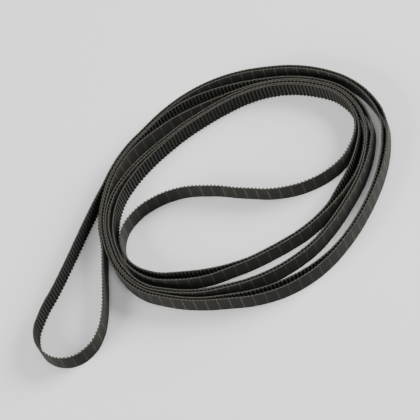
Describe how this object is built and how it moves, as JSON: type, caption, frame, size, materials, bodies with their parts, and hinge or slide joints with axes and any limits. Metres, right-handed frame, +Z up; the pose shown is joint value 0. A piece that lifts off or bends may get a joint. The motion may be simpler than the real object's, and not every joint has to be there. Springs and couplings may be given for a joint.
{
  "type": "synchronous drive belt",
  "caption": "Long endless toothed drive belt, doubled and coiled, standing on its edge, with a loop at one end and one free span across the coil.",
  "frame": {"origin": "centre of the belt's outline on the ground, under the cut edge that it stands on", "axes": "+Z up, across the belt's width; the end loop lies towards -X and -Y, and the coil towards +X"},
  "size_m": [0.2104, 0.1404, 0.0095],
  "materials": {
    "backing": "satin moulded black rubber, smooth, with fine raised cross lines from the mould",
    "cord": "twisted glass-fibre cord, cut ends grey",
    "teeth": "matt black rubber teeth faced with black woven nylon"
  },
  "bodies": {
    "root": {"backing_rubber": "backing", "tension_cord": "cord", "tooth_rubber": "teeth"}
  },
  "joints": []
}
